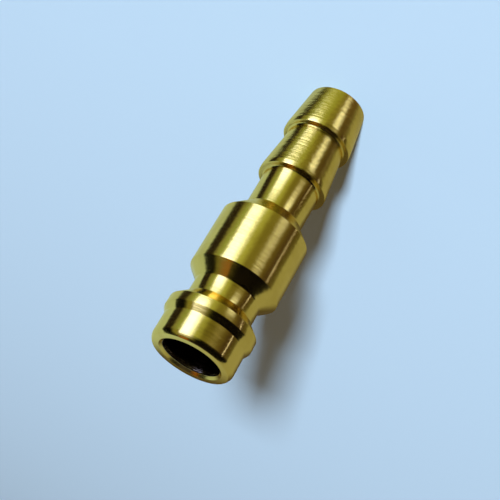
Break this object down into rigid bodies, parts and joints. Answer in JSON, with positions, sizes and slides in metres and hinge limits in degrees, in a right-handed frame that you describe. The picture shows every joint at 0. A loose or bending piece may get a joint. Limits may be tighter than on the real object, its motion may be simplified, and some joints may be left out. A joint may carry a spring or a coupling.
{
  "type": "quick coupling plug with hose tail",
  "caption": "Turned brass plug of a small quick coupling for liquid cooling hose: straight-through bore, collar and locking groove at the nose, barbed hose tail behind a plain body.",
  "frame": {"origin": "centre of the hose end, on the axis, at the height of the surface that the plug stands on", "axes": "+Z along the axis, from the hose end up to the nose face; X and Y are alike, because the plug is round"},
  "size_m": [0.0092, 0.0092, 0.032],
  "materials": {
    "turned_brass": "bright turned, with fine lathe marks round the axis"
  },
  "bodies": {
    "root": {"coupling_plug": "turned_brass"}
  },
  "joints": []
}
